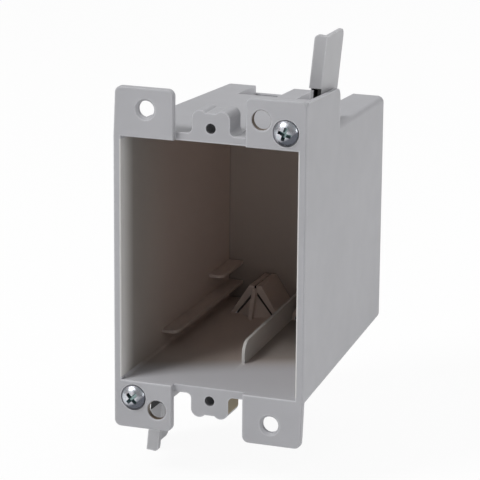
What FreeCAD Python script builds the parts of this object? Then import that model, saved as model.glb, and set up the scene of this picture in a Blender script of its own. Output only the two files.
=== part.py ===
import FreeCAD, Part
import os
from FreeCAD import Vector

# Single-gang back box for cutting into a plasterboard wall, in millimetres.
# X is to the right seen from the room, Y runs into the wall, Z is up.
# Y = 0 is the wall surface, where the ears and clamp pads bear.

# Box moulding, open at the front and narrower towards the rear
OPEN_W = 55.0
OPEN_H = 75.0
WALL = 2.4
DRAFT_W = 6.5
DRAFT_H = 6.4
BOX_DEPTH = 85.0
REAR_WALL = 2.2
OUTER_R = 2.0
INNER_R = 1.0
REAR_R = 0.8
EDGE_R = 0.5

# Ears and clamp pads at the four front corners: rise is above the opening, inset is from the side
EAR_T = 2.0
EAR_RISE = 15.0
EAR_W = 18.9
EAR_TAPER = 0.6
PAD_RISE = 14.8
PAD_W = 18.5
FLANGE_R = 2.0
EAR_HOLE_RISE = 8.6
EAR_HOLE_INSET = 10.2
EAR_HOLE_D = 5.1
EAR_HOLE_CHAMFER = 0.7
PAD_HOLE_RISE = 8.4
PAD_HOLE_INSET = 13.7
PAD_HOLE_D = 5.8
PAD_HOLE_CHAMFER = 0.35

# Bosses for the device screws
DEVICE_HOLE_RISE = 4.17
DEVICE_HOLE_D = 3.0
BOSS_W = 11.8
BOSS_DEPTH = 9.0
BOSS_REACH = 5.3
BOSS_LOBE_R = 2.5
BOSS_NOTCH = 0.8
BOSS_FILLET = 1.5
RIM_STEP = 2.0

# Guard wall beside each clamp
GUARD_T = 1.2
GUARD_DROP = 0.5
GUARD_REAR_RISE = 12.1
GUARD_DEPTH = 33.5
GUARD_R = 3.0

# Ribs inside
FIN_X = 2.2
FIN_T = 1.0
FIN_H = 6.6
FIN_START = 23.3
FIN_R = 4.0
LEDGE_REACH = 4.9
LEDGE_T = 1.0
LEDGE_R = 2.0
LONG_LEDGE_START = 28.3
LONG_LEDGE_ABOVE = 6.0
SHORT_LEDGE_START = 65.3
SHORT_LEDGE_ABOVE = 12.7

# Cable entries, two at each end: a creased hood with a sprung tongue in its mouth
ENTRY_X = 9.9
ENTRY_W = 13.2
ENTRY_L = 17.4
FLAP_T = 1.7
FLAP_RISE = 9.8
CREASE_W = 0.6
CREASE_DEPTH = 0.9
PROP_T = 1.3
TONGUE_T = 1.0
TONGUE_GAP = 0.15
TONGUE_TUCK = 0.5
TONGUE_LEAN = 4.2

# Clamp screws
SCREW_RISE = 5.2
SCREW_INSET = 6.2
SCREW_D = 3.5
SCREW_L = 44.45
SCREW_GAP = 0.3
SEAT_SINK = 0.6
SEAT_GAP = 0.3
TIP_CHAMFER = 0.6
HEAD_D = 7.4
HEAD_H = 2.1
HEAD_RIM = 0.7
RECESS_SPAN = 5.0
RECESS_ARM = 1.3
RECESS_DEPTH = 1.6
RECESS_TAPER = 0.55
UPPER_TURN = 17.0
LOWER_TURN = 45.0

# The arc of a screw's crown passes this share of the head's radius and height
CROWN_OUT = 0.72
CROWN_UP = 0.8

# Clamp wings
WING_Y = 20.2
WING_REACH = 24.9
WING_DEPTH = 16.2
WING_W = 3.8
WING_OUT = 2.3
WING_PLATE_T = 1.8
WING_WEB_T = 1.0
WING_LEAN = 5.7
WING_FOOT = 8.8
NECK_ROOF = 1.0
POCKET_W = 1.8
POCKET_GAP = 0.9
POCKET_WALL = 0.4
POCKET_FLOOR = 0.8
POCKET_BACK = 3.0
WING_TIP_R = 1.2
WEB_TIP_R = 2.5
HUB_R = 2.85
HUB_GAP = 0.05

# How far a cutting tool runs past a face, and how close two places are to be the same
PASS = 1.0
NEAR = 0.001

# Sizes that follow from those above
FRONT = -EAR_T
RIM = FRONT + RIM_STEP
HALF_OPEN_H = OPEN_H / 2
HALF_W = OPEN_W / 2 + WALL
HALF_H = HALF_OPEN_H + WALL
REAR_IN = BOX_DEPTH - REAR_WALL
ENTRY_START = BOX_DEPTH - ENTRY_L
DEVICE_HOLE_Z = HALF_OPEN_H + DEVICE_HOLE_RISE
EAR_HOLE = (HALF_W - EAR_HOLE_INSET, HALF_OPEN_H + EAR_HOLE_RISE)
PAD_HOLE = (HALF_W - PAD_HOLE_INSET, HALF_OPEN_H + PAD_HOLE_RISE)
SCREW = (HALF_W - SCREW_INSET, HALF_OPEN_H + SCREW_RISE)

ORIGIN = Vector(0, 0, 0)
X_AXIS = Vector(1, 0, 0)
Y_AXIS = Vector(0, 1, 0)


def outer_x(y):
    """Half the box's width, which narrows straight from the front plane to the rear face."""
    return HALF_W - DRAFT_W / 2 * (y - FRONT) / (BOX_DEPTH - FRONT)


def outer_z(y):
    return HALF_H - DRAFT_H / 2 * (y - FRONT) / (BOX_DEPTH - FRONT)


def inner_x(y):
    return outer_x(y) - WALL


def inner_z(y):
    return outer_z(y) - WALL


def block(x0, x1, y0, y1, z0, z1):
    return Part.makeBox(x1 - x0, y1 - y0, z1 - z0, Vector(x0, y0, z0))


def rod(x, z, r, y0, y1):
    return Part.makeCylinder(r, y1 - y0, Vector(x, y0, z), Y_AXIS)


def closed(ring):
    return Part.makePolygon(ring + ring[:1])


def prism_x(points, x0, x1):
    """A bar along X with its section given as (y, z) points."""
    ring = [Vector(x0, y, z) for y, z in points]
    return Part.Face(closed(ring)).extrude(Vector(x1 - x0, 0, 0))


def prism_y(points, y0, y1):
    """A bar along Y with its section given as (x, z) points."""
    ring = [Vector(x, y0, z) for x, z in points]
    return Part.Face(closed(ring)).extrude(Vector(0, y1 - y0, 0))


def prism_z(points, z0, z1):
    """A bar along Z with its section given as (x, y) points."""
    ring = [Vector(x, y, z0) for x, y in points]
    return Part.Face(closed(ring)).extrude(Vector(0, 0, z1 - z0))


def half_turn(shape):
    """The same feature at the opposite corner: half a turn about the box axis."""
    copy = shape.copy()
    copy.rotate(ORIGIN, Y_AXIS, 180)
    return copy


def both(shape):
    return [shape, half_turn(shape)]


def mirrored_x(shape):
    return shape.mirror(ORIGIN, X_AXIS)


def round_edges(shape, radius, chosen):
    return shape.makeFillet(radius, [e for e in shape.Edges if chosen(e)])


def same(a, b):
    return abs(a - b) < NEAR


def along(edge, axis):
    """True for a straight edge in the direction of an axis."""
    return isinstance(edge.Curve, Part.Line) and edge.Curve.Direction.cross(axis).Length < NEAR


def middle(edge):
    return edge.BoundBox.Center


def lies_at(edge, y):
    """True for an edge that lies in the plane across the box at y."""
    return same(edge.BoundBox.YMin, y) and same(edge.BoundBox.YMax, y)


def tapered(half_x, half_z, r, y0, y1):
    """A bar along Y whose half sizes are functions of y, with its long edges rounded."""
    ends = []
    for y in (y0, y1):
        corners = ((-1, -1), (1, -1), (1, 1), (-1, 1))
        ends.append(closed([Vector(sx * half_x(y), y, sz * half_z(y)) for sx, sz in corners]))
    bar = Part.makeLoft(ends, True, True)
    return round_edges(bar, r, lambda e: not lies_at(e, y0) and not lies_at(e, y1))


def corner_plate(width, rise, taper):
    """A plate at the upper right front corner, rounded at its two free corners."""
    top = HALF_OPEN_H + rise
    inner = HALF_W - width
    outline = [(inner, HALF_OPEN_H), (HALF_W, HALF_OPEN_H), (HALF_W - taper, top), (inner, top)]
    plate = prism_y(outline, FRONT, 0)
    return round_edges(plate, FLANGE_R, lambda e: along(e, Y_AXIS) and same(middle(e).z, top))


def front_frame():
    """The flat front: two ears, two clamp pads and the side rims between them."""
    pad = corner_plate(PAD_W, PAD_RISE, 0)
    ear = mirrored_x(corner_plate(EAR_W, EAR_RISE, EAR_TAPER))
    rim = block(HALF_W - WALL, HALF_W, FRONT, 0, -HALF_OPEN_H, HALF_OPEN_H)
    pieces = both(pad) + both(ear) + both(rim)
    frame = pieces[0].multiFuse(pieces[1:]).removeSplitter()
    return round_edges(frame, EDGE_R, lambda e: lies_at(e, FRONT))


def device_boss():
    """The upper boss: two lobes below a flat rim, faired into the wall."""
    rear = RIM + BOSS_DEPTH
    half = BOSS_W / 2
    end_z = DEVICE_HOLE_Z + BOSS_REACH
    root_z = inner_z(rear) + WALL / 2
    lobe_x = half - BOSS_LOBE_R
    lobe_z = end_z - BOSS_LOBE_R
    fairing_z = outer_z(RIM) + BOSS_FILLET
    boss = block(-half, half, RIM, rear, root_z, lobe_z)
    pieces = [block(-lobe_x, lobe_x, RIM, rear, root_z, end_z - BOSS_NOTCH)]
    for side in (-1, 1):
        pieces.append(rod(side * lobe_x, lobe_z, BOSS_LOBE_R, RIM, rear))
        near, far = sorted((side * half, side * (half + BOSS_FILLET)))
        foot = block(near, far, RIM, rear, root_z, fairing_z)
        hollow = rod(side * (half + BOSS_FILLET), fairing_z, BOSS_FILLET, RIM - PASS, rear + PASS)
        pieces.append(foot.cut(hollow))
    return boss.multiFuse(pieces)


def guard():
    """The wall that stops the upper wing, flush with the right side of the box."""
    low = outer_z(GUARD_DEPTH) - WALL - OUTER_R
    front_top = HALF_OPEN_H + PAD_RISE - GUARD_DROP
    top = HALF_OPEN_H + GUARD_REAR_RISE
    plan = [(outer_x(0), 0), (outer_x(GUARD_DEPTH), GUARD_DEPTH),
            (outer_x(GUARD_DEPTH) - GUARD_T, GUARD_DEPTH), (outer_x(0) - GUARD_T, 0)]
    side = [(0, low), (GUARD_DEPTH, low), (GUARD_DEPTH, top), (0, front_top)]
    wall = prism_z(plan, low, front_top).common(prism_x(side, 0, HALF_W))
    return round_edges(wall, GUARD_R, lambda e: lies_at(e, GUARD_DEPTH) and same(e.BoundBox.ZMin, top))


def floor_fin():
    """The upright rib between the two lower cable entries."""
    end = REAR_IN + REAR_WALL / 2
    side = []
    for y, rise in ((FIN_START, -WALL / 2), (end, -WALL / 2), (end, FIN_H), (FIN_START, FIN_H)):
        side.append((y, rise - inner_z(y)))
    fin = prism_x(side, FIN_X - FIN_T / 2, FIN_X + FIN_T / 2)
    top = FIN_H - inner_z(FIN_START)
    return round_edges(fin, FIN_R, lambda e: lies_at(e, FIN_START) and same(e.BoundBox.ZMin, top))


def ledge(start, above):
    """A shelf along the left wall, its top a set height above the floor."""
    end = REAR_IN + REAR_WALL / 2
    plan = []
    for y, reach in ((start, -WALL / 2), (start, LEDGE_REACH), (end, LEDGE_REACH), (end, -WALL / 2)):
        plan.append((reach - inner_x(y), y))
    side = []
    for y, rise in ((start, above), (end, above), (end, above - LEDGE_T), (start, above - LEDGE_T)):
        side.append((y, rise - inner_z(y)))
    shelf = prism_z(plan, -HALF_H, 0).common(prism_x(side, -HALF_W, 0))
    tip = LEDGE_REACH - inner_x(start)
    return round_edges(shelf, LEDGE_R, lambda e: lies_at(e, start) and same(e.BoundBox.XMin, tip))


def hood_section(x, half_foot, half_crown, base, crown):
    """An upright A-shaped section centred at x."""
    return [(x - half_foot, base), (x - half_crown, crown), (x + half_crown, crown), (x + half_foot, base)]


def leaning(foot, crown, low, high, x0, x1):
    """A wall across X that leans to the rear; foot and crown are its front and rear faces there."""
    return prism_x([(foot[0], low), (foot[1], low), (crown[1], high), (crown[0], high)], x0, x1)


def prow(x, half, foot_y, rear_y, low, high):
    """A three-sided form centred at x, its foot pointing to the front and its tip at the rear."""
    left = Vector(x - half, rear_y, low)
    right = Vector(x + half, rear_y, low)
    foot = Vector(x, foot_y, low)
    tip = Vector(x, rear_y, high)
    sides = [(left, foot, right), (left, foot, tip), (foot, right, tip), (left, right, tip)]
    return Part.Solid(Part.Shell([Part.Face(closed(list(ring))) for ring in sides]))


def cable_entry(x):
    """One lower cable entry centred at x: its moulded pieces, then its way out through the floor."""
    base = -inner_z(ENTRY_START)
    low = base - WALL / 2
    crown = base + FLAP_RISE
    mouth = crown - FLAP_T
    half = ENTRY_W / 2
    crease = CREASE_W / 2
    rear = REAR_IN + REAR_WALL / 2
    past = BOX_DEPTH + PASS
    roof = prism_y(hood_section(x, half + FLAP_T, crease + FLAP_T, base, crown), ENTRY_START, rear)
    curbs = block(x - half - FLAP_T, x + half + FLAP_T, ENTRY_START, rear, low, base)
    way = prism_y(hood_section(x, half, crease, base, mouth), ENTRY_START - PASS, REAR_IN)
    below = -HALF_H - PASS
    notch = [(ENTRY_START, base), (ENTRY_START, below), (past, below), (past, -inner_z(past))]
    under = prism_x(notch, x - half, x + half)
    groove_z = crown - CREASE_DEPTH
    groove = block(x - crease, x + crease, ENTRY_START - PASS, REAR_IN, groove_z, crown + PASS)
    hood = roof.fuse(curbs).cut(Part.makeCompound([way, under])).cut(groove)

    foot_y = ENTRY_START - TONGUE_LEAN
    spread = (half - TONGUE_GAP) * (mouth - low) / (mouth - base)
    sheet = prow(x, spread, foot_y, ENTRY_START + TONGUE_TUCK, low, mouth)
    hollow = sheet.copy()
    hollow.translate(Vector(0, TONGUE_T, 0))
    prop = leaning((foot_y - PROP_T, foot_y + TONGUE_T), (ENTRY_START - PROP_T, ENTRY_START + TONGUE_T),
                   low, groove_z, x - PROP_T / 2, x + PROP_T / 2)
    return [hood, sheet.cut(hollow).fuse(prop)], way.fuse(under)


def chamfered_hole(x, z, r, chamfer):
    """A round hole through the front plate, eased at the front."""
    ease = Part.makeCone(r + chamfer, r, chamfer, Vector(x, FRONT, z), Y_AXIS)
    return rod(x, z, r, FRONT - PASS, PASS).fuse(ease)


def front_holes():
    holes = both(rod(0, DEVICE_HOLE_Z, DEVICE_HOLE_D / 2, FRONT - PASS, RIM + BOSS_DEPTH + PASS))
    holes += both(chamfered_hole(-EAR_HOLE[0], EAR_HOLE[1], EAR_HOLE_D / 2, EAR_HOLE_CHAMFER))
    holes += both(chamfered_hole(PAD_HOLE[0], PAD_HOLE[1], PAD_HOLE_D / 2, PAD_HOLE_CHAMFER))
    holes += both(rod(SCREW[0], SCREW[1], SCREW_D / 2 + SCREW_GAP, FRONT - PASS, PASS))
    holes += both(rod(SCREW[0], SCREW[1], HEAD_D / 2 + SEAT_GAP, FRONT - PASS, FRONT + SEAT_SINK))
    return holes


def box_body():
    outside = tapered(outer_x, outer_z, OUTER_R, RIM, BOX_DEPTH)
    outside = round_edges(outside, REAR_R, lambda e: lies_at(e, BOX_DEPTH))
    inside = tapered(inner_x, inner_z, INNER_R, FRONT - PASS, REAR_IN)
    body = outside.multiFuse([front_frame()] + both(device_boss()) + both(guard())).cut(inside)
    ribs = both(ledge(LONG_LEDGE_START, LONG_LEDGE_ABOVE))
    ribs += both(ledge(SHORT_LEDGE_START, SHORT_LEDGE_ABOVE))
    for x in (-ENTRY_X, ENTRY_X):
        pieces, opening = cable_entry(x)
        for piece in pieces:
            ribs += both(piece)
        body = body.cut(both(opening))
    body = body.fuse(ribs + [floor_fin()])
    for hole in front_holes():
        body = body.cut(hole)
    return body.removeSplitter()


def upper_wing():
    """The upper clamp wing, drawn with its arm up, then set on its screw as it stands open."""
    inner = WING_OUT - WING_W
    web_x = WING_OUT - WING_WEB_T
    plate = block(inner, WING_OUT, 0, WING_PLATE_T, WING_FOOT, WING_REACH)
    plate = round_edges(plate, WING_TIP_R, lambda e: along(e, Y_AXIS)
                        and same(middle(e).z, WING_REACH) and same(middle(e).x, inner))
    web = block(web_x, WING_OUT, 0, WING_DEPTH, 0, WING_REACH)
    web = round_edges(web, WEB_TIP_R, lambda e: lies_at(e, WING_DEPTH) and same(e.BoundBox.ZMin, WING_REACH))
    neck = block(inner, WING_OUT, WING_PLATE_T, WING_DEPTH, 0, WING_FOOT + NECK_ROOF)
    hub = rod(0, 0, HUB_R, 0, WING_DEPTH)
    wing = hub.multiFuse([neck, plate, web])
    pocket_end = WING_DEPTH - POCKET_BACK
    gap = block(inner + POCKET_WALL, web_x, -PASS, pocket_end, WING_FOOT - POCKET_GAP, WING_FOOT)
    pocket = block(web_x - POCKET_W, web_x, -PASS, pocket_end, HUB_R + POCKET_FLOOR, WING_FOOT)
    wing = wing.cut(gap.fuse(pocket))
    wing = wing.cut(rod(0, 0, SCREW_D / 2 + HUB_GAP, -PASS, WING_DEPTH + PASS)).removeSplitter()
    wing.rotate(ORIGIN, Y_AXIS, WING_LEAN)
    wing.translate(Vector(SCREW[0], WING_Y, SCREW[1]))
    return wing


def recess_arm():
    """One arm of the cross recess, narrower at its bottom."""
    ends = []
    for y, share in ((-HEAD_H - PASS, 1), (-HEAD_H + RECESS_DEPTH, RECESS_TAPER)):
        a = share * RECESS_SPAN / 2
        b = share * RECESS_ARM / 2
        ends.append(closed([Vector(-a, y, -b), Vector(a, y, -b), Vector(a, y, b), Vector(-a, y, b)]))
    return Part.makeLoft(ends, True, True)


def clamp_screw(turn):
    """The upper clamp screw, its cross recess turned by an angle, its head on its sunk seat."""
    r = HEAD_D / 2
    s = SCREW_D / 2
    rim = Vector(r, -HEAD_RIM, 0)
    top = Vector(0, -HEAD_H, 0)
    crown = Part.Arc(rim, Vector(r * CROWN_OUT, -HEAD_H * CROWN_UP, 0), top).toShape()
    outline = Part.makePolygon([top, Vector(0, SCREW_L, 0), Vector(s - TIP_CHAMFER, SCREW_L, 0),
                                Vector(s, SCREW_L - TIP_CHAMFER, 0), Vector(s, 0, 0), Vector(r, 0, 0), rim])
    screw = Part.Face(Part.Wire(outline.Edges + [crown])).revolve(ORIGIN, Y_AXIS, 360)
    for quarter in (0, 90):
        arm = recess_arm()
        arm.rotate(ORIGIN, Y_AXIS, turn + quarter)
        screw = screw.cut(arm)
    screw.translate(Vector(SCREW[0], FRONT + SEAT_SINK, SCREW[1]))
    return screw


os.makedirs("parts", exist_ok=True)
wing = upper_wing()
box_body().exportStep("parts/box_body.step")
wing.exportStep("parts/upper_wing.step")
half_turn(wing).exportStep("parts/lower_wing.step")
clamp_screw(UPPER_TURN).exportStep("parts/upper_screw.step")
half_turn(clamp_screw(LOWER_TURN)).exportStep("parts/lower_screw.step")
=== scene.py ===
import math

import bmesh
import bpy
from mathutils import Matrix, Vector


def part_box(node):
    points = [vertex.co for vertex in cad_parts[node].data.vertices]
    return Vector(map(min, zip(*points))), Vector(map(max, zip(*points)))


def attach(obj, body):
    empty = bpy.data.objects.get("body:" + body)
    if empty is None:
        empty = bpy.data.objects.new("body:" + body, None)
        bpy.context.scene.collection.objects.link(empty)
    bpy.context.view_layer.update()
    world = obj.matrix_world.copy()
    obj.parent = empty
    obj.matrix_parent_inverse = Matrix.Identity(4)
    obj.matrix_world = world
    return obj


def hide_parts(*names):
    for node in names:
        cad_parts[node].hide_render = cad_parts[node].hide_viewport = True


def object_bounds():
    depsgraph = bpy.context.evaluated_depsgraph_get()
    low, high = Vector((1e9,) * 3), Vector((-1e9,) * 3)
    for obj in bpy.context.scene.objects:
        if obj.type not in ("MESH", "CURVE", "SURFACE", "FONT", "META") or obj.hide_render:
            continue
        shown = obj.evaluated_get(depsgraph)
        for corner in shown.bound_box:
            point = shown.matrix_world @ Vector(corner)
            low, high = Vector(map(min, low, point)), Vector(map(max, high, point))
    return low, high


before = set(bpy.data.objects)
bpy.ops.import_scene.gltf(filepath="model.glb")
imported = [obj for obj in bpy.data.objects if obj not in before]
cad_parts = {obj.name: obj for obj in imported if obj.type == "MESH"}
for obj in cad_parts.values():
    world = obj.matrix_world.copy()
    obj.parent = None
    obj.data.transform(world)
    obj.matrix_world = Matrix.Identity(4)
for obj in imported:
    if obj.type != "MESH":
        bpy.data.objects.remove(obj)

# Lengths are in metres, in the frame of the CAD model: X right, Y into the wall, Z up.
MM = 0.001
CAD_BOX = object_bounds()

# Camera that took the photograph, fitted to the box's corners, holes and screws
IMAGE_SIZE = 480
FOCAL_PIXELS = 2600
SENSOR = 36.0
CAMERA_AT = (0.25925, -0.68845, 0.20936)
CAMERA_YAW = math.radians(19.955)
CAMERA_PITCH = math.radians(15.286)
CAMERA_ROLL = math.radians(0.461)
CAMERA_CLIP = (0.01, 20)

# Softboxes: direction from the object, distance, side and power
LAMPS = {
    "left_key": ((-0.463, -0.493, 0.737), 1.4, 0.47, 11.6),
    "front_left_fill": ((-0.45, -0.85, 0.25), 1.2, 0.5, 0.6),
    "right_strip": ((0.975, -0.11, 0.20), 1.2, 0.28, 2.1),
    "top_right_fill": ((0.68, 0.40, 0.62), 1.2, 0.7, 1.5),
    "top_back": ((0.10, 0.55, 0.83), 1.2, 0.8, 3.4),
}
# Brightness of the tent: all round, near its mouth, and in the opening towards the camera
TENT = 0.36
MOUTH = 0.34
OPENING = 0.19
# The Y of a direction over which one brightness turns into the next
MOUTH_EDGE = (-0.85, -0.55)
TENT_EDGE = (-0.55, -0.25)
# White sweep under the object: half its side, its colour, and how much of it glows by itself
SWEEP_HALF = 3.0
SWEEP_TONE = (0.9, 0.9, 0.9, 1)
SWEEP_GLOW = 0.93
WHITE = (1, 1, 1, 1)

# Range that noise mostly keeps to, and its detail on plastic, on zinc and in bumps
NOISE_LOW = 0.3
NOISE_HIGH = 0.7
PLASTIC_DETAIL = 4
ZINC_DETAIL = 3
BUMP_DETAIL = 2

# Plain colours of the mouldings, and how far soft clouds lighten and darken them
BOX_GREY = (0.40, 0.40, 0.42)
WING_GREY = (0.44, 0.44, 0.455)
CLOUD_SCALE = 45
CLOUD_SHARE = 0.03
# Roughness of the plastic, and how much rougher its core side is
PLASTIC_ROUGH = (0.46, 0.53)
PLASTIC_ROUGH_SCALE = 140
CORE_ROUGHER = 0.12
# Specular level of the plastic; the painted shade at the front of the hoods has none
SPECULAR = 0.5
# Grain of the mould, and the radius that softens the edges in the shading
GRAIN_SCALE = 5200
GRAIN_STRENGTH = 0.12
GRAIN_DEPTH = 0.05 * MM
PLASTIC_EDGE_R = 0.25 * MM
BEVEL_SAMPLES = 6
# Painted highlight along sharp edges: width of the paler band, how much paler it is, and the turn over
# which it fades
EDGE_WIDTH = 0.7 * MM
EDGE_HIGHLIGHT_GAIN = 1.35
EDGE_TURN = (0.92, 0.998)

# The cavity narrows from front to rear; the painted shade of the inside ends just within its walls
CAVITY_HALF_X = 27.9 * MM
CAVITY_HALF_Z = 37.8 * MM
CAVITY_TAPER = 0.037
CAVITY_REAR = 83.9 * MM
# On its floor and roof a painted lit patch gives way to the painted brown shade along a slant from the left
# front corner, like the edge of a cast shadow
FLOOR_SHADE_FADE = (0 * MM, 14 * MM)
FLOOR_SLANT = 0.45
FLOOR_SKIN = 1.2 * MM
LIT_FLOOR_TONE = (0.49, 0.49, 0.515, 1)
# Painted light and shade of the core side at depths from the wall surface: a lit band at the mouth, deep
# shade behind it, then browner and paler with depth
CAVITY_SHADE_TONES = (
    (0 * MM, (0.62, 0.61, 0.60)),
    (7 * MM, (0.28, 0.26, 0.24)),
    (35 * MM, (0.44, 0.36, 0.32)),
    (80 * MM, (0.68, 0.57, 0.51)),
)
# Where the rear wall's inner face starts, and the share by which painted shade darkens it
REAR_FACE = 82.5 * MM
REAR_SHARE = 0.44
REAR_SHADE_TONE = (0.03, 0.025, 0.02, 1)
# Hoods of the cable entries: middle, front, floor, half width there and how it falls with height
HOOD_X = 9.9 * MM
HOOD_START = 67.7 * MM
HOOD_FLOOR = 34.94 * MM
HOOD_HALF = 7.0 * MM
HOOD_SLOPE = 0.71
# Painted shade on the front of each hood's inner face, up to this depth
HOOD_SHADE_END = 76.0 * MM
HOOD_SHADE_TONE = (0.06, 0.05, 0.045, 1)
# Painted light on the floor fin, a paler grey over the cavity's painted shade: middle and half width, and
# the height up to which it is toned
FIN_X = (2.2 * MM, 0.65 * MM)
FIN_TOP = -28 * MM
LIT_FIN_TONE = (0.56, 0.55, 0.53, 1)
# Painted shadow on the floor to the fin's right: middle and half width, where it fades in and where it ends
BESIDE_X = (13.4 * MM, 10.5 * MM)
BESIDE_START = (22 * MM, 32 * MM)
BESIDE_END = 66.5 * MM
BESIDE_SHADOW_TONE = (0.29, 0.26, 0.24, 1)
# Painted light on the side faces of the notches that the cable entries leave in the upper and lower walls
NOTCH_SIDE = (6.6 * MM, 0.08 * MM)
NOTCH_FLOOR = 37.5 * MM
NOTCH_LIGHT_GAIN = 1.5
# Device screw holes, darkened by painted shade by this share
HOLE_Z = 41.67 * MM
HOLE_R = 1.6 * MM
HOLE_SHARE = 0.45
HOLE_SHADE_TONE = (0.03, 0.03, 0.03, 1)
# Round holes beside the clamp screws, with painted brown shade on their walls
PAD_HOLE_X = 16.2 * MM
PAD_HOLE_Z = 45.9 * MM
PAD_HOLE_R = 2.96 * MM
PAD_HOLE_SHADE_TONE = (0.12, 0.088, 0.06, 1)
# Painted ochre shade on the right flank of the lower device boss: middle and half size
FLANK_X = (6.9 * MM, 1.1 * MM)
FLANK_Y = (5.2 * MM, 5.0 * MM)
FLANK_Z = (-42.0 * MM, 4.3 * MM)
FLANK_SHADE_TONE = (0.22, 0.165, 0.07, 1)

# The upper wing's place and lean, and the middle and half size of the slot at its foot, where deep shade is
# painted
WING_X = 23.7 * MM
WING_Z = 42.7 * MM
WING_LEAN = math.radians(5.7)
POCKET_X = (0.1 * MM, 1.25 * MM)
POCKET_Y = (28.2 * MM, 5.75 * MM)
POCKET_Z = (6.2 * MM, 2.65 * MM)
FOOT_SHADE_TONE = (0.015, 0.015, 0.015, 1)
# Painted shade on a corner of the front of each wing's foot: its top on either wing, and the line that cuts
# it off
FOOT_Y = (20.2 * MM, 0.15 * MM)
FOOT_UPPER = 51.6 * MM
FOOT_LOWER = 54.0 * MM
FOOT_SLOPE = 0.87
FOOT_CUT = 30.73 * MM

# Clamp screws: 6-32 machine screws with a pan head
SCREW_R = 1.75 * MM
THREAD_PITCH = 25.4 / 32 * MM
THREAD_DEPTH = 0.42 * MM
# Steepness of the thread's flanks, and how much of it the flat crest takes off
THREAD_STEEP = 2.6
THREAD_CREST = 0.15
ROWS_PER_TURN = 8
SHANK_SEGMENTS = 24
# The shank starts a little within the head, and its last rows taper to the tip
SHANK_SUNK = 0.2 * MM
TIP_ROWS = 3
TIP_TAPER = 0.5 * MM
HEAD_R = 3.7 * MM
HEAD_H = 2.1 * MM
HEAD_RIM = 0.7 * MM
HEAD_SEGMENTS = 48
# The crown's arc passes this share of the radius out at this share of the height
CROWN_OUT = 0.72
CROWN_UP = 0.8
CROWN_STEPS = 10
# Cross recess: width over both arms, width of an arm, depth, and share of its width at the bottom
RECESS_SPAN = 5.0 * MM
RECESS_ARM = 1.3 * MM
RECESS_DEPTH = 1.6 * MM
RECESS_TAPER = 0.55
# How far the tool that cuts the recess stands out of the head
RECESS_PASS = 1 * MM
RECESS_TURN = {"upper_screw": math.radians(17), "lower_screw": math.radians(45)}
# Edges that turn by more than this stay sharp in the shading
SHARP_ANGLE = math.radians(32)

# Zinc: cloudy bright tones, roughness and dents
ZINC_TONES = ((0.50, 0.56, 0.60, 1), (0.74, 0.71, 0.76, 1))
ZINC_TONE_SCALE = 900
ZINC_ROUGH = (0.24, 0.38)
ZINC_ROUGH_SCALE = 2200
DENT_SCALE = 1100
DENT_STRENGTH = 0.35
DENT_DEPTH = 0.12 * MM
ZINC_EDGE_R = 0.09 * MM
# Painted shade and reflection, darker and greener zinc, in the recess: heights from the head's underside
# over which it fades in, and its reach
RECESS_SHADE = (-1.75 * MM, -1.0 * MM)
RECESS_REACH = 0.52 * RECESS_SPAN
RECESS_SHADE_TONE = (0.28, 0.38, 0.375, 1)
# Painted shade darkens the zinc on faces that turn this way, over this range of tilt
SHADE_SIDE = (0.55, 0, -0.835)
SHADE_TILT = (0.02, 0.32)
SHADE_MOST = 0.92
SHADE_TONE = (0.07, 0.075, 0.095, 1)


def make_camera():
    a, b, c = CAMERA_YAW, CAMERA_PITCH, CAMERA_ROLL
    forward = Vector((-math.sin(a) * math.cos(b), math.cos(a) * math.cos(b), -math.sin(b)))
    level = Vector((math.cos(a), math.sin(a), 0))
    upright = level.cross(forward)
    right = level * math.cos(c) + upright * math.sin(c)
    up = upright * math.cos(c) - level * math.sin(c)
    data = bpy.data.cameras.new("camera")
    data.sensor_width = SENSOR
    data.lens = FOCAL_PIXELS / IMAGE_SIZE * SENSOR
    data.clip_start, data.clip_end = CAMERA_CLIP
    camera = bpy.data.objects.new("camera", data)
    bpy.context.scene.collection.objects.link(camera)
    turn = Matrix((right, up, -forward)).transposed().to_4x4()
    camera.matrix_world = Matrix.Translation(CAMERA_AT) @ turn
    bpy.context.scene.camera = camera


def make_lamps():
    for name, (direction, distance, side, power) in LAMPS.items():
        data = bpy.data.lights.new(name, "AREA")
        data.shape = "SQUARE"
        data.size = side
        data.energy = power
        lamp = bpy.data.objects.new(name, data)
        bpy.context.scene.collection.objects.link(lamp)
        away = Vector(direction).normalized()
        turn = away.to_track_quat("Z", "Y").to_matrix().to_4x4()
        lamp.matrix_world = Matrix.Translation(away * distance) @ turn


def noise(tree, coords, scale, detail):
    node = tree.nodes.new("ShaderNodeTexNoise")
    node.inputs["Scale"].default_value = scale
    node.inputs["Detail"].default_value = detail
    tree.links.new(coords, node.inputs["Vector"])
    return node.outputs["Fac"]


def to_range(tree, value, low, high, from_low=NOISE_LOW, from_high=NOISE_HIGH):
    """A value carried from one range, that of noise if none is given, to another and held within it."""
    node = tree.nodes.new("ShaderNodeMapRange")
    node.inputs["From Min"].default_value = from_low
    node.inputs["From Max"].default_value = from_high
    node.inputs["To Min"].default_value = low
    node.inputs["To Max"].default_value = high
    tree.links.new(value, node.inputs["Value"])
    return node.outputs["Result"]


def fill(tree, sockets, values):
    """Links each value that is a socket, and sets the plain ones."""
    for socket, value in zip(sockets, values):
        if isinstance(value, bpy.types.NodeSocket):
            tree.links.new(value, socket)
        else:
            socket.default_value = value


def math_node(tree, operation, *values):
    node = tree.nodes.new("ShaderNodeMath")
    node.operation = operation
    fill(tree, node.inputs, values)
    return node.outputs[0]


def mix_colour(tree, factor, a, b):
    """Colour a where the factor is nought, and b where it is one."""
    node = tree.nodes.new("ShaderNodeMix")
    node.data_type = "RGBA"
    # Inputs 6 and 7 and output 2 are the node's colours; the others serve numbers and vectors.
    fill(tree, (node.inputs[0], node.inputs[6], node.inputs[7]), (factor, a, b))
    return node.outputs[2]


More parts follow.
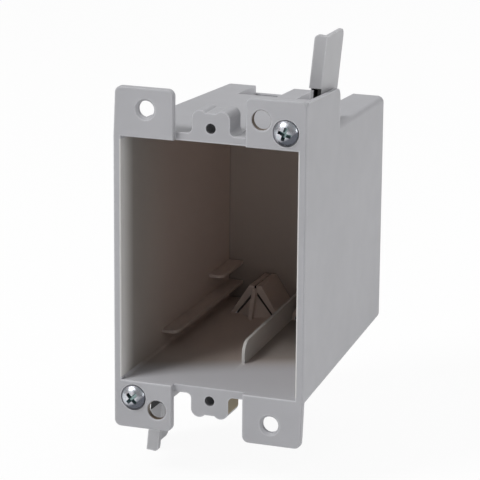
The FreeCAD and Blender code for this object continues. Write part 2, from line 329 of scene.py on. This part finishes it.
def axes(tree, coords):
    """X, Y and Z of a point."""
    split = tree.nodes.new("ShaderNodeSeparateXYZ")
    tree.links.new(coords, split.inputs[0])
    return split.outputs["X"], split.outputs["Y"], split.outputs["Z"]


def size(tree, value):
    """A value without its sign."""
    return math_node(tree, "ABSOLUTE", value)


def minus(tree, a, b):
    return math_node(tree, "SUBTRACT", a, b)


def times(tree, first, *others):
    """The product of all the values; of masks, one where every mask is one."""
    for other in others:
        first = math_node(tree, "MULTIPLY", first, other)
    return first


def plus_times(tree, a, b, c):
    """a times b, plus c."""
    return math_node(tree, "MULTIPLY_ADD", a, b, c)


def less(tree, a, b):
    return math_node(tree, "LESS_THAN", a, b)


def more(tree, a, b):
    return math_node(tree, "GREATER_THAN", a, b)


def within(tree, value, place):
    """One where the value lies in a place that is given by its middle and half size."""
    return math_node(tree, "COMPARE", value, *place)


def in_circle(tree, across, up, radius):
    """One within a radius of the point that across and up are measured from."""
    return less(tree, plus_times(tree, up, up, times(tree, across, across)), radius * radius)


def untapered(tree, away, y):
    """A distance from the box's middle, with the narrowing of the cavity taken out."""
    return plus_times(tree, y, CAVITY_TAPER, size(tree, away))


def from_hood(tree, x):
    """Distance across from the middle of the nearer cable entry."""
    return size(tree, minus(tree, size(tree, x), HOOD_X))


def upper_place(tree, x, z):
    """X and Z of a point, or of its half turn where it lies in the lower half."""
    return times(tree, x, math_node(tree, "SIGN", z)), size(tree, z)


def cavity_masks(tree, coords):
    """Three masks: the faces inside the box with painted brown shade, the painted lit patch on the floor
    and roof at its mouth, and the painted shade at the front of the hoods' inner faces.
    """
    x, y, z = axes(tree, coords)
    high = untapered(tree, z, y)
    rise = minus(tree, HOOD_FLOOR, size(tree, z))
    hood_width = plus_times(tree, rise, HOOD_SLOPE, from_hood(tree, x))
    under_hood = times(tree, less(tree, hood_width, HOOD_HALF), more(tree, y, HOOD_START))
    inside = times(
        tree,
        less(tree, untapered(tree, x, y), CAVITY_HALF_X),
        less(tree, high, CAVITY_HALF_Z),
        less(tree, y, CAVITY_REAR),
        minus(tree, 1, under_hood),
    )
    on_floor = more(tree, high, CAVITY_HALF_Z - FLOOR_SKIN)
    slant = plus_times(tree, math_node(tree, "ADD", x, CAVITY_HALF_X), -FLOOR_SLANT, y)
    lit_share = minus(tree, 1, to_range(tree, slant, 0, 1, *FLOOR_SHADE_FADE))
    lit_floor = times(tree, inside, on_floor, lit_share)
    hood_shade = times(tree, under_hood, less(tree, y, HOOD_SHADE_END), more(tree, rise, 0))
    return minus(tree, inside, lit_floor), lit_floor, hood_shade


def painted_cavity_shade(tree, coords):
    """The core side's painted light and shade: a lit band at the mouth, dark behind it, then browner and
    paler with depth.
    """
    deepest = CAVITY_SHADE_TONES[-1][0]
    ramp = tree.nodes.new("ShaderNodeValToRGB")
    stops = ramp.color_ramp.elements
    while len(stops) < len(CAVITY_SHADE_TONES):
        stops.new(1)
    for stop, (depth, tone) in zip(stops, CAVITY_SHADE_TONES):
        stop.position = depth / deepest
        stop.color = (*tone, 1)
    _, y, _ = axes(tree, coords)
    tree.links.new(to_range(tree, y, 0, 1, 0, deepest), ramp.inputs["Fac"])
    return ramp.outputs["Color"]


def floor_form_masks(tree, coords):
    """Two masks: the floor fin, painted lit, and the floor to its right, painted in shadow."""
    x, y, z = axes(tree, coords)
    low = less(tree, z, FIN_TOP)
    fin = times(tree, low, within(tree, x, FIN_X))
    beside = times(tree, low, within(tree, x, BESIDE_X), less(tree, y, BESIDE_END))
    return fin, times(tree, beside, to_range(tree, y, 0, 1, *BESIDE_START))


def notch_light_mask(tree, coords):
    """One on the side faces of the cable entries' notches, where light is painted, nought elsewhere."""
    x, y, z = axes(tree, coords)
    side = within(tree, from_hood(tree, x), NOTCH_SIDE)
    return times(tree, side, more(tree, untapered(tree, z, y), NOTCH_FLOOR), more(tree, y, HOOD_START))


def hole_shade_mask(tree, coords):
    """One in the bores for the device screws, where shade is painted, nought elsewhere."""
    x, _, z = axes(tree, coords)
    return in_circle(tree, x, minus(tree, size(tree, z), HOLE_Z), HOLE_R)


def pad_hole_shade_mask(tree, coords):
    """One on the walls of the two holes beside the clamp screws, where brown shade is painted, nought
    elsewhere.
    """
    x, _, z = axes(tree, coords)
    x, z = upper_place(tree, x, z)
    return in_circle(tree, minus(tree, x, PAD_HOLE_X), minus(tree, z, PAD_HOLE_Z), PAD_HOLE_R)


def flank_shade_mask(tree, coords):
    """One on the lower boss's right flank, where ochre shade is painted, nought elsewhere."""
    x, y, z = axes(tree, coords)
    return times(tree, within(tree, x, FLANK_X), within(tree, y, FLANK_Y), within(tree, z, FLANK_Z))


def slot_shade_mask(tree, coords):
    """One on the faces within the slot at each wing's foot, where deep shade is painted, nought elsewhere.
    """
    x, y, z = axes(tree, coords)
    x, z = upper_place(tree, x, z)
    x = minus(tree, x, WING_X)
    z = minus(tree, z, WING_Z)
    sine, cosine = math.sin(WING_LEAN), math.cos(WING_LEAN)
    across = plus_times(tree, z, -sine, times(tree, x, cosine))
    along = plus_times(tree, z, cosine, times(tree, x, sine))
    inside = times(tree, within(tree, across, POCKET_X), within(tree, along, POCKET_Z))
    return times(tree, inside, within(tree, y, POCKET_Y))


def foot_shade_mask(tree, coords):
    """One on the corner of each wing's foot that lies in its own shade, nought elsewhere."""
    x, y, z = axes(tree, coords)
    across, high = upper_place(tree, x, z)
    corner = less(tree, plus_times(tree, across, -FOOT_SLOPE, high), FOOT_CUT)
    top = to_range(tree, z, FOOT_LOWER, FOOT_UPPER, -MM, MM)
    return times(tree, corner, less(tree, high, top), within(tree, y, FOOT_Y))


def bevel_normal(tree, radius):
    """The face's normal, rounded near edges."""
    bevel = tree.nodes.new("ShaderNodeBevel")
    bevel.samples = BEVEL_SAMPLES
    bevel.inputs["Radius"].default_value = radius
    return bevel.outputs["Normal"]


def facing(tree, normal, direction):
    """How far one direction turns the same way as another: one where they agree."""
    node = tree.nodes.new("ShaderNodeVectorMath")
    node.operation = "DOT_PRODUCT"
    fill(tree, node.inputs, (normal, direction))
    return node.outputs["Value"]


def painted_edge_highlight_mask(tree):
    """One along sharp edges, where a paler colour is painted as a highlight, and nought on flat faces."""
    flat = tree.nodes.new("ShaderNodeNewGeometry").outputs["True Normal"]
    return to_range(tree, facing(tree, bevel_normal(tree, EDGE_WIDTH), flat), 1, 0, *EDGE_TURN)


def add_bumps(tree, coords, shader, scale, strength, depth, edge_radius):
    """Fine bumps on the faces, and edges that are rounded in the shading."""
    bump = tree.nodes.new("ShaderNodeBump")
    bump.inputs["Strength"].default_value = strength
    bump.inputs["Distance"].default_value = depth
    tree.links.new(noise(tree, coords, scale, BUMP_DETAIL), bump.inputs["Height"])
    tree.links.new(bevel_normal(tree, edge_radius), bump.inputs["Normal"])
    tree.links.new(bump.outputs["Normal"], shader.inputs["Normal"])


def new_material(name):
    made = bpy.data.materials.new(name)
    made.use_nodes = True
    made.node_tree.nodes.clear()
    out = made.node_tree.nodes.new("ShaderNodeOutputMaterial")
    return made, made.node_tree, out


def new_surface(name):
    """A material with one principled shader, and the coordinates of the object it is on."""
    made, tree, out = new_material(name)
    shader = tree.nodes.new("ShaderNodeBsdfPrincipled")
    tree.links.new(shader.outputs["BSDF"], out.inputs["Surface"])
    coords = tree.nodes.new("ShaderNodeTexCoord").outputs["Object"]
    return made, tree, shader, coords


def toned(colour, gain):
    return [v * gain for v in colour] + [1]


def paint_box(tree, coords, shader, shade, rough):
    """The box: a duller core side with painted brown shade, and painted light and shade at its holes,
    notches, flank, fin and hoods.
    """
    # Painted light on the notches' side faces
    shade = mix_colour(tree, notch_light_mask(tree, coords), shade, toned(BOX_GREY, NOTCH_LIGHT_GAIN))
    # Painted shade on the walls of the holes beside the clamp screws
    shade = mix_colour(tree, pad_hole_shade_mask(tree, coords), shade, PAD_HOLE_SHADE_TONE)
    # Painted shade on the lower boss's right flank
    shade = mix_colour(tree, flank_shade_mask(tree, coords), shade, FLANK_SHADE_TONE)
    core, lit_floor, hood_shade = cavity_masks(tree, coords)
    # Painted shade over the inside of the cavity, lit near the mouth
    shade = mix_colour(tree, core, shade, painted_cavity_shade(tree, coords))
    # Painted light on the fin and painted shadow on the floor to its right
    for form, tone in zip(floor_form_masks(tree, coords), (LIT_FIN_TONE, BESIDE_SHADOW_TONE)):
        shade = mix_colour(tree, times(tree, form, core), shade, tone)
    # Painted light: the lit front of the cavity's floor and roof
    shade = mix_colour(tree, lit_floor, shade, LIT_FLOOR_TONE)
    # Painted shade at the front of each hood's inner face
    shade = mix_colour(tree, hood_shade, shade, HOOD_SHADE_TONE)
    # Painted shade on the rear wall's inner face
    _, y, _ = axes(tree, coords)
    rear = times(tree, core, more(tree, y, REAR_FACE), REAR_SHARE)
    shade = mix_colour(tree, rear, shade, REAR_SHADE_TONE)
    # Painted shade in the device screw holes
    bores = times(tree, hole_shade_mask(tree, coords), HOLE_SHARE)
    tree.links.new(mix_colour(tree, bores, shade, HOLE_SHADE_TONE), shader.inputs["Base Color"])
    tree.links.new(plus_times(tree, core, CORE_ROUGHER, rough), shader.inputs["Roughness"])
    tree.links.new(plus_times(tree, hood_shade, -SPECULAR, SPECULAR), shader.inputs["Specular IOR Level"])


def paint_wing(tree, coords, shader, shade, rough):
    """A wing: painted deep shade in the slot and on a corner at its foot."""
    # Painted shade in the slot and on the corner at each wing's foot
    dark = math_node(tree, "MAXIMUM", slot_shade_mask(tree, coords), foot_shade_mask(tree, coords))
    tree.links.new(mix_colour(tree, dark, shade, FOOT_SHADE_TONE), shader.inputs["Base Color"])
    tree.links.new(rough, shader.inputs["Roughness"])


def moulded_plastic(name, colour, paint):
    """Grey rigid PVC with the satin grain of the mould; paint lays a piece's own painted light and shade
    over it.
    """
    made, tree, shader, coords = new_surface(name)
    clouds = to_range(tree, noise(tree, coords, CLOUD_SCALE, PLASTIC_DETAIL), 0, 1)
    shade = mix_colour(tree, clouds, toned(colour, 1 - CLOUD_SHARE), toned(colour, 1 + CLOUD_SHARE))
    # Painted highlight: a paler band along sharp edges
    shade = mix_colour(tree, painted_edge_highlight_mask(tree), shade, toned(colour, EDGE_HIGHLIGHT_GAIN))
    rough = to_range(tree, noise(tree, coords, PLASTIC_ROUGH_SCALE, PLASTIC_DETAIL), *PLASTIC_ROUGH)
    paint(tree, coords, shader, shade, rough)
    add_bumps(tree, coords, shader, GRAIN_SCALE, GRAIN_STRENGTH, GRAIN_DEPTH, PLASTIC_EDGE_R)
    return made


def zinc_plate(name):
    """Bright zinc over turned steel, a little blue and cloudy, with painted shade in its recess and on
    faces turned down and to the right.
    """
    made, tree, shader, coords = new_surface(name)
    shader.inputs["Metallic"].default_value = 1
    clouds = to_range(tree, noise(tree, coords, ZINC_TONE_SCALE, ZINC_DETAIL), 0, 1)
    bright = mix_colour(tree, clouds, *ZINC_TONES)
    x, y, z = axes(tree, coords)
    # Painted shade and reflection in the cross recess
    deep = times(tree, to_range(tree, y, 0, 1, *RECESS_SHADE), less(tree, y, 0))
    recess = times(tree, deep, in_circle(tree, x, z, RECESS_REACH))
    plate = mix_colour(tree, recess, bright, RECESS_SHADE_TONE)
    # Painted shade on faces turned down and to the right
    normal = tree.nodes.new("ShaderNodeNewGeometry").outputs["Normal"]
    shaded_side = to_range(tree, facing(tree, normal, SHADE_SIDE), 0, SHADE_MOST, *SHADE_TILT)
    tree.links.new(mix_colour(tree, shaded_side, plate, SHADE_TONE), shader.inputs["Base Color"])
    rough = to_range(tree, noise(tree, coords, ZINC_ROUGH_SCALE, ZINC_DETAIL), *ZINC_ROUGH)
    tree.links.new(rough, shader.inputs["Roughness"])
    add_bumps(tree, coords, shader, DENT_SCALE, DENT_STRENGTH, DENT_DEPTH, ZINC_EDGE_R)
    return made


def sweep_paper():
    """White paper that shows only a trace of the object's shadow."""
    made, tree, out = new_material("white_sweep")
    paper = tree.nodes.new("ShaderNodeBsdfDiffuse")
    paper.inputs["Color"].default_value = SWEEP_TONE
    glow = tree.nodes.new("ShaderNodeEmission")
    glow.inputs["Color"].default_value = WHITE
    glow.inputs["Strength"].default_value = 1
    path = tree.nodes.new("ShaderNodeLightPath")
    seen = math_node(tree, "MAXIMUM", path.outputs["Is Camera Ray"], path.outputs["Is Glossy Ray"])
    mix = tree.nodes.new("ShaderNodeMixShader")
    tree.links.new(times(tree, seen, SWEEP_GLOW), mix.inputs["Fac"])
    tree.links.new(paper.outputs["BSDF"], mix.inputs[1])
    tree.links.new(glow.outputs["Emission"], mix.inputs[2])
    tree.links.new(mix.outputs["Shader"], out.inputs["Surface"])
    return made


def make_floor():
    low = CAD_BOX[0].z
    far = SWEEP_HALF
    mesh = bpy.data.meshes.new("floor")
    corners = [(-far, -far, low), (far, -far, low), (far, far, low), (-far, far, low)]
    mesh.from_pydata(corners, [], [(0, 1, 2, 3)])
    floor = bpy.data.objects.new("floor", mesh)
    bpy.context.scene.collection.objects.link(floor)
    mesh.materials.append(sweep_paper())


def make_world():
    """A soft tent with a darker opening at the front, which the camera sees as white."""
    world = bpy.data.worlds.new("studio")
    bpy.context.scene.world = world
    world.use_nodes = True
    tree = world.node_tree
    tree.nodes.clear()
    out = tree.nodes.new("ShaderNodeOutputWorld")
    path = tree.nodes.new("ShaderNodeLightPath")
    _, y, _ = axes(tree, tree.nodes.new("ShaderNodeTexCoord").outputs["Generated"])
    near = to_range(tree, y, OPENING, MOUTH, *MOUTH_EDGE)
    far = to_range(tree, y, 0, TENT - MOUTH, *TENT_EDGE)
    tent = tree.nodes.new("ShaderNodeBackground")
    tent.inputs["Color"].default_value = WHITE
    tree.links.new(math_node(tree, "ADD", near, far), tent.inputs["Strength"])
    backdrop = tree.nodes.new("ShaderNodeBackground")
    backdrop.inputs["Color"].default_value = WHITE
    backdrop.inputs["Strength"].default_value = 1
    mix = tree.nodes.new("ShaderNodeMixShader")
    tree.links.new(path.outputs["Is Camera Ray"], mix.inputs["Fac"])
    tree.links.new(tent.outputs["Background"], mix.inputs[1])
    tree.links.new(backdrop.outputs["Background"], mix.inputs[2])
    tree.links.new(mix.outputs["Shader"], out.inputs["Surface"])


def set_material(node, made):
    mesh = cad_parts[node].data
    mesh.materials.clear()
    mesh.materials.append(made)


def crown_points(count):
    """The head's outline from its middle to its rim: an arc through three points, as (radius, y)."""
    ax, ay = 0.0, -HEAD_H
    bx, by = HEAD_R * CROWN_OUT, -HEAD_H * CROWN_UP
    cx, cy = HEAD_R, -HEAD_RIM
    d = 2 * (ax * (by - cy) + bx * (cy - ay) + cx * (ay - by))
    a2, b2, c2 = ax * ax + ay * ay, bx * bx + by * by, cx * cx + cy * cy
    ux = (a2 * (by - cy) + b2 * (cy - ay) + c2 * (ay - by)) / d
    uy = (a2 * (cx - bx) + b2 * (ax - cx) + c2 * (bx - ax)) / d
    r = math.hypot(ax - ux, ay - uy)
    start = math.atan2(ay - uy, ax - ux)
    end = math.atan2(cy - uy, cx - ux)
    turns = [start + (end - start) * i / count for i in range(count + 1)]
    return [(ux + r * math.cos(t), uy + r * math.sin(t)) for t in turns]


def spun(depths, radius_at, segments):
    """A closed skin about the Y axis, a ring at each depth; radius_at takes a ring's number and a turn."""
    mesh = bmesh.new()
    rings = []
    for number, y in enumerate(depths):
        ring = []
        for i in range(segments):
            turn = 2 * math.pi * i / segments
            r = radius_at(number, turn)
            ring.append(mesh.verts.new((r * math.sin(turn), y, r * math.cos(turn))))
        rings.append(ring)
    for a, b in zip(rings, rings[1:]):
        for i in range(segments):
            j = (i + 1) % segments
            mesh.faces.new((a[i], a[j], b[j], b[i]))
    mesh.faces.new(rings[0][::-1])
    mesh.faces.new(rings[-1])
    bmesh.ops.recalc_face_normals(mesh, faces=mesh.faces)
    return mesh


def to_object(name, mesh):
    data = bpy.data.meshes.new(name)
    mesh.to_mesh(data)
    mesh.free()
    made = bpy.data.objects.new(name, data)
    bpy.context.scene.collection.objects.link(made)
    return made


def recess_tool(turn):
    """The two tapered arms that cut the cross recess."""
    mesh = bmesh.new()
    sides = ((0, 1, 2, 3), (4, 5, 6, 7), (0, 1, 5, 4), (1, 2, 6, 5), (2, 3, 7, 6), (3, 0, 4, 7))
    for quarter in (0, math.pi / 2):
        spin = Matrix.Rotation(turn + quarter, 3, "Y")
        corners = []
        for y, share in ((-HEAD_H - RECESS_PASS, 1), (-HEAD_H + RECESS_DEPTH, RECESS_TAPER)):
            a, b = share * RECESS_SPAN / 2, share * RECESS_ARM / 2
            for x, z in ((-a, -b), (a, -b), (a, b), (-a, b)):
                corners.append(mesh.verts.new(spin @ Vector((x, y, z))))
        for side in sides:
            mesh.faces.new([corners[i] for i in side])
    bmesh.ops.recalc_face_normals(mesh, faces=mesh.faces)
    return to_object("recess_tool", mesh)


def crossed_head(outline, recess_turn):
    """The crowned head with its recess cut."""
    depths = [y for _, y in outline]
    head = to_object("head", spun(depths, lambda number, turn: outline[number][0], HEAD_SEGMENTS))
    tool = recess_tool(recess_turn)
    cut = head.modifiers.new("recess", "BOOLEAN")
    cut.operation = "DIFFERENCE"
    cut.solver = "EXACT"
    cut.use_self = True
    cut.object = tool
    graph = bpy.context.evaluated_depsgraph_get()
    mesh = bmesh.new()
    mesh.from_mesh(head.evaluated_get(graph).data)
    for leftover in (head, tool):
        bpy.data.objects.remove(leftover)
    return mesh


def thread_radius(y, turn):
    """The radius of a right-hand thread at a depth and turn."""
    share = (y / THREAD_PITCH - turn / (2 * math.pi)) % 1
    groove = abs(share - 0.5) * THREAD_STEEP - THREAD_CREST
    return SCREW_R - THREAD_DEPTH * max(0.0, min(1.0, groove))


def threaded_shank(length):
    """A threaded rod that starts within the head and tapers at its tip."""
    step = THREAD_PITCH / ROWS_PER_TURN
    tip = TIP_ROWS * step
    depths = [-SHANK_SUNK] + [i * step for i in range(int(length / step))] + [length]

    def radius(number, turn):
        y = depths[number]
        taper = max(0.0, y - (length - tip)) / tip
        return thread_radius(y, turn) - TIP_TAPER * taper

    return spun(depths, radius, SHANK_SEGMENTS)


def make_screw(node, zinc):
    """A threaded screw in the place of a plain one, with its crown at the front of the CAD screw's box."""
    low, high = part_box(node)
    outline = crown_points(CROWN_STEPS)[1:] + [(HEAD_R, 0.0)]
    top = min(y for _, y in outline)
    seat = Vector(((low.x + high.x) / 2, low.y - top, (low.z + high.z) / 2))
    whole = crossed_head(outline, RECESS_TURN[node])
    shank = threaded_shank(high.y - seat.y)
    part = bpy.data.meshes.new("shank")
    shank.to_mesh(part)
    shank.free()
    whole.from_mesh(part)
    for face in whole.faces:
        face.smooth = True
    for edge in whole.edges:
        if len(edge.link_faces) == 2 and edge.calc_face_angle() > SHARP_ANGLE:
            edge.smooth = False
    screw = to_object(node + "_threaded", whole)
    screw.location = seat
    screw.data.materials.append(zinc)
    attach(screw, node)
    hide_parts(node)


bpy.context.scene.view_settings.view_transform = "Standard"
make_camera()
make_world()
make_lamps()
make_floor()

grey = moulded_plastic("grey_pvc", BOX_GREY, paint_box)
wing_grey = moulded_plastic("wing_grey_pvc", WING_GREY, paint_wing)
zinc = zinc_plate("zinc_plate")
set_material("box_body", grey)
for wing in ("upper_wing", "lower_wing"):
    set_material(wing, wing_grey)
for screw in ("upper_screw", "lower_screw"):
    make_screw(screw, zinc)
